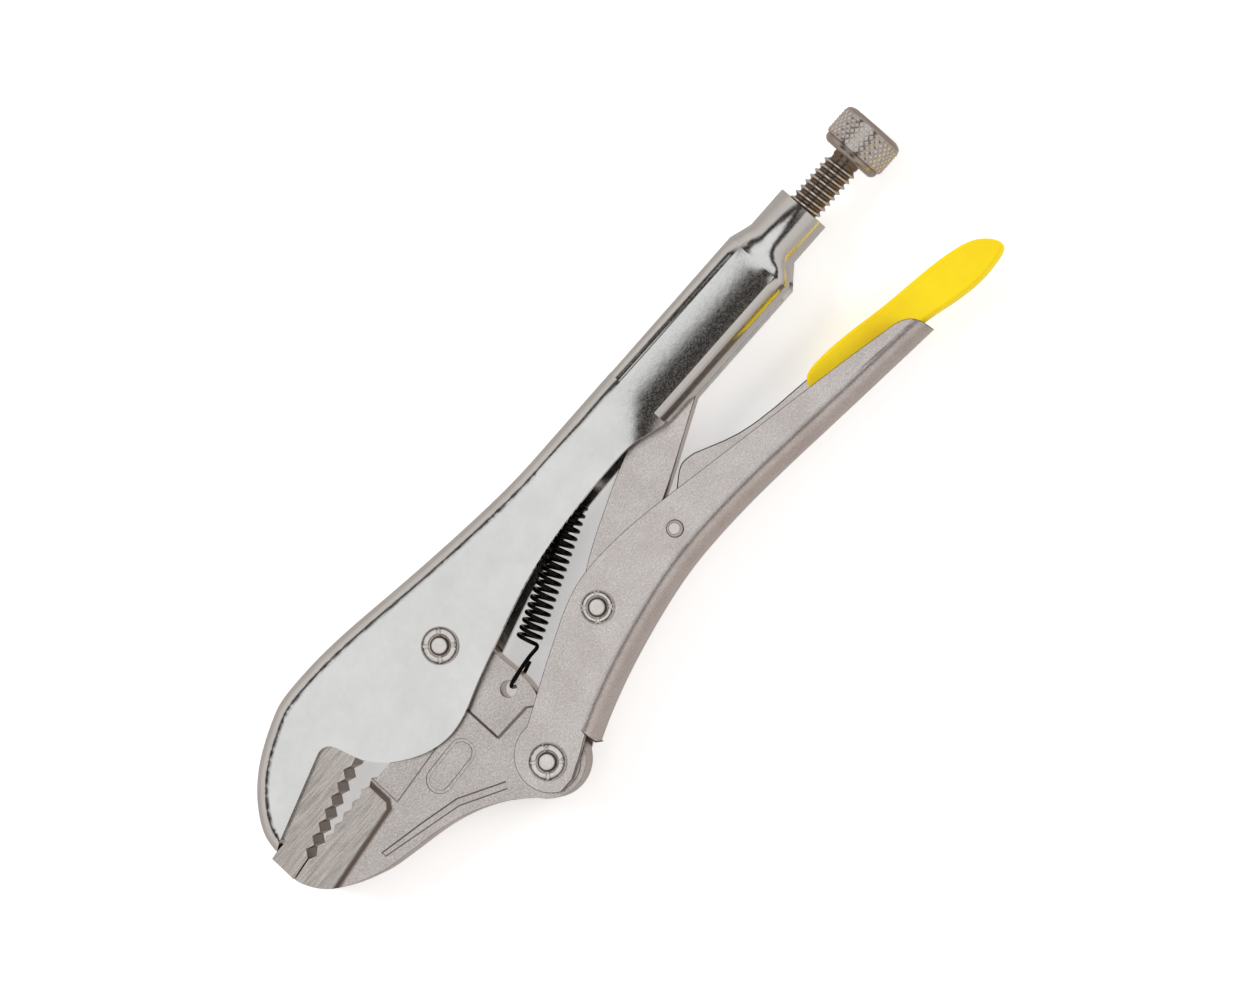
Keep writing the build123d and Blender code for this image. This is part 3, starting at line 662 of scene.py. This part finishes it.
def threaded_rod():
    """One tooth's profile wound along the rod, then both ends closed."""
    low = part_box("adjusting_screw")[0]
    start, end = low.x + 0.2 * MM, SCREW_AXIS.x - 1.2 * MM
    turns = int((end - start) / (PITCH * MM))
    profile = [
        (0.0, ROOT_R), (0.25, ROOT_R), (0.72, CREST_R), (1.0, CREST_R), (1.47, ROOT_R), (PITCH, ROOT_R),
    ]
    bpy.ops.object.select_all(action="DESELECT")
    bpy.ops.mesh.primitive_plane_add(size=0.001, location=(0, 0, 0))
    rod = bpy.context.object
    rod.name = "threaded_rod"
    bpy.ops.object.mode_set(mode="EDIT")
    bpy.ops.mesh.select_mode(type="VERT")
    bpy.ops.mesh.select_all(action="SELECT")
    bpy.ops.mesh.merge(type="CENTER")
    bpy.ops.transform.translate(value=(profile[0][1] * MM, 0, profile[0][0] * MM))
    for before, after in zip(profile, profile[1:]):
        bpy.ops.mesh.extrude_vertices_move(
            TRANSFORM_OT_translate={"value": ((after[1] - before[1]) * MM, 0, (after[0] - before[0]) * MM)}
        )
    bpy.ops.object.mode_set(mode="OBJECT")
    wind = rod.modifiers.new("wind", "SCREW")
    wind.axis = "Z"
    wind.screw_offset = PITCH * MM
    wind.iterations = turns
    wind.steps = wind.render_steps = THREAD_STEPS
    wind.use_merge_vertices = True
    wind.merge_threshold = 0.00001
    bpy.ops.object.modifier_apply(modifier="wind")
    bpy.ops.object.mode_set(mode="EDIT")
    bpy.ops.mesh.select_all(action="SELECT")
    bpy.ops.mesh.remove_doubles(threshold=0.00001)
    bpy.ops.mesh.select_mode(type="EDGE")
    bpy.ops.mesh.select_all(action="DESELECT")
    bpy.ops.mesh.select_non_manifold()
    bpy.ops.mesh.edge_face_add()
    bpy.ops.mesh.select_all(action="SELECT")
    bpy.ops.mesh.normals_make_consistent(inside=False)
    bpy.ops.object.mode_set(mode="OBJECT")
    quarter = Matrix.Rotation(math.radians(90), 4, "Y")
    settle(rod, Matrix.Translation((start, SCREW_AXIS.y, SCREW_AXIS.z)) @ quarter, 30)
    neck_rings = [(-6.0, 1.6), (-6.0, 3.2), (-1.4, 3.2), (-0.9, 3.5), (0.0, 3.5), (0.1, 1.6)]
    neck = turned("screw_neck", neck_rings, 48)
    settle(neck, Matrix.Translation(SCREW_AXIS) @ quarter, 30)
    for piece in (rod, neck):
        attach(piece, "screw_rod")
        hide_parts("adjusting_screw")
        piece.data.materials.append(thread_steel)
    print("turns of thread:", turns)


threaded_rod()

# %% [markdown]
# ## Return spring
# An extension spring, close to evenly wound, with a long hook through the jaw's hole and a
# short one on the cross pin. It is wire, so it is drawn as a curve with a round section.

# %% Spring wire
COIL_R, COIL_TURNS = 2.75, 18.5
WIRE_R = 0.5
SIDE_OF_JAW = 3.9     # how far the long hook's legs stand off the middle plane
SPRING_HOLE = (3.0, -18.6)


def return_spring():
    """Coil and hooks as one wire."""
    hole = JAW_PIVOT + Vector((*SPRING_HOLE, 0)) * MM
    pin_low, pin_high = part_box("spring_pin")
    pin = (pin_low + pin_high) / 2
    hole.z = pin.z = MIDDLE
    axis = (pin - hole).normalized()
    side = Vector((0, 0, 1)).cross(axis)
    up = Vector((0, 0, 1))
    radius, face = COIL_R * MM, SIDE_OF_JAW * MM
    start = hole + axis * 12.0 * MM
    length = (pin - start).length - 5.2 * MM
    wire = [
        hole + axis * 7.4 * MM - side * 1.2 * MM - up * face,
        hole + axis * 4.5 * MM - side * 0.9 * MM - up * face,
        hole + axis * 1.8 * MM - side * 0.5 * MM - up * (face + 0.1 * MM),
        hole + axis * 0.7 * MM - side * 0.4 * MM - up * face * 0.8,
        hole + axis * 0.6 * MM - side * 0.3 * MM,
        hole + axis * 0.7 * MM - side * 0.3 * MM + up * face * 0.8,
        hole + axis * 1.8 * MM - side * 0.4 * MM + up * (face + 0.1 * MM),
        hole + axis * 4.5 * MM - side * 1.0 * MM + up * face,
        start - axis * 2.4 * MM - side * 2.2 * MM + up * face * 0.7,
        start - axis * 0.8 * MM - side * 2.9 * MM + up * 1.6 * MM,
    ]
    steps = int(COIL_TURNS * 14)
    for i in range(steps + 1):
        angle = math.radians(200) + 2 * math.pi * COIL_TURNS * i / steps
        round_axis = (side * math.cos(angle) - up * math.sin(angle)) * radius
        wire.append(start + axis * length * i / steps + round_axis)
    end = wire[-1]
    wire += [
        end.lerp(pin, 0.35) + up * 0.4 * MM, pin - axis * 2.3 * MM + side * 0.6 * MM,
        pin - axis * 1.2 * MM + side * 2.0 * MM, pin + axis * 1.0 * MM + side * 1.9 * MM,
        pin + axis * 2.1 * MM, pin + axis * 1.1 * MM - side * 1.8 * MM,
    ]
    line = bpy.data.curves.new("return_spring_wire", "CURVE")
    line.dimensions = "3D"
    line.bevel_depth = WIRE_R * MM
    line.bevel_resolution = 3
    line.use_fill_caps = True
    line.resolution_u = 2
    run = line.splines.new("NURBS")
    run.points.add(len(wire) - 1)
    for point, place in zip(run.points, wire):
        point.co = (*place, 1)
    run.order_u = 3
    run.use_endpoint_u = True
    holder = bpy.data.objects.new("return_spring_wire", line)
    bpy.context.scene.collection.objects.link(holder)
    only(holder)
    bpy.ops.object.convert(target="MESH")
    spring = bpy.context.object
    settle(spring, None, 60)
    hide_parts("return_spring")
    spring.data.materials.append(spring_steel)
    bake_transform(spring)
    return spring


return_spring()

# %% [markdown]
# ## Floor, light and camera
# The tool lies on a plain pale floor under broad soft lights. Polished metal shows what is
# round it, so the sky here is a large bright diffuser overhead, a dark gap round its edge and a
# grey room beyond: flat faces mirror the diffuser, and each fold, as it turns away, picks up
# the gap as one thin dark line and then the room.

# %% Floor
bpy.ops.object.select_all(action="DESELECT")
bpy.ops.mesh.primitive_plane_add(size=6.0, location=(0, 0, cad_box[0].z))
floor = bpy.context.object
floor.name = "floor"
floor_paint, tree, shader = material("pale_floor_paint")
shader.inputs["Base Color"].default_value = colour("#F4F4F4")
shader.inputs["Roughness"].default_value = 0.7
shader.inputs["Emission Color"].default_value = colour("#FFFFFF")
shader.inputs["Emission Strength"].default_value = 0.42
floor.data.materials.append(floor_paint)
floor.visible_glossy = False
print("floor at", round(cad_box[0].z / MM, 2), "mm")

# %% Sky and lamps
world = bpy.data.worlds.new("studio")
bpy.context.scene.world = world
world.use_nodes = True
tree = world.node_tree
direction = add(tree, "ShaderNodeTexCoord").outputs["Generated"]
overhead = Vector((-0.10, 0.16, 1.0)).normalized()
facing = add(
    tree, "ShaderNodeVectorMath", {"operation": "DOT_PRODUCT"}, i0=direction, i1=overhead
).outputs["Value"]
sky = ramp(tree, facing, [
    (0.0, "#B8B0AB"), (0.35, "#CDC6C2"), (0.74, "#D6D0CC"), (0.81, "#2A2420"), (0.912, "#211C19"),
    (0.945, "#E8E8E8"), (1.0, "#EEEEEE"),
])
tree.links.new(sky, tree.nodes["Background"].inputs["Color"])
tree.nodes["Background"].inputs["Strength"].default_value = 1.0


def soft_box(name, place, aim, size, watts):
    """A square area lamp that looks at a point."""
    lamp = bpy.data.lights.new(name, "AREA")
    lamp.shape = "RECTANGLE"
    lamp.size, lamp.size_y = size
    lamp.energy = watts
    holder = bpy.data.objects.new(name, lamp)
    bpy.context.scene.collection.objects.link(holder)
    holder.location = place
    holder.rotation_mode = "QUATERNION"
    holder.rotation_quaternion = (Vector(aim) - Vector(place)).to_track_quat("-Z", "Y")
    holder.visible_glossy = False
    return holder


soft_box("spine_side", (-0.3, 1.1, 0.9), (0, 0, 0), (0.8, 0.8), 14.0)
soft_box("palm_side", (0.9, -0.8, 0.8), (0, 0, 0), (0.9, 0.9), 9.0)

# %% Camera
LOOK_FROM = Vector((0.10, -0.16, 1.0)).normalized()   # nearly straight down on the flat tool
HANDLE_ANGLE = math.radians(48.5)                     # the screw's slope in the picture
DISTANCE = 0.945
CENTRE_RIGHT, CENTRE_UP = 2.3 * MM, 8.0 * MM          # frames the tool as a whole


def camera_at(target, toward, roll):
    """A camera whose picture shows the tool's +X direction at the given angle."""
    data = bpy.data.cameras.new("camera")
    data.lens = 115.0
    data.sensor_width = 36.0
    holder = bpy.data.objects.new("camera", data)
    bpy.context.scene.collection.objects.link(holder)
    along = (Vector((1, 0, 0)) - toward * toward.x).normalized()
    across = toward.cross(along)
    right = along * math.cos(roll) - across * math.sin(roll)
    up = along * math.sin(roll) + across * math.cos(roll)
    turn = Matrix((right, up, toward)).transposed()
    centre = target + right * CENTRE_RIGHT + up * CENTRE_UP
    holder.matrix_world = Matrix.Translation(centre + toward * DISTANCE) @ turn.to_4x4()
    bpy.context.scene.camera = holder
    data.clip_start, data.clip_end = 0.05, 20
    return holder


target = (cad_box[0] + cad_box[1]) / 2
camera = camera_at(target, LOOK_FROM, HANDLE_ANGLE)
bpy.context.scene.view_settings.view_transform = "Standard"
print("camera:", [round(v, 3) for v in camera.location])
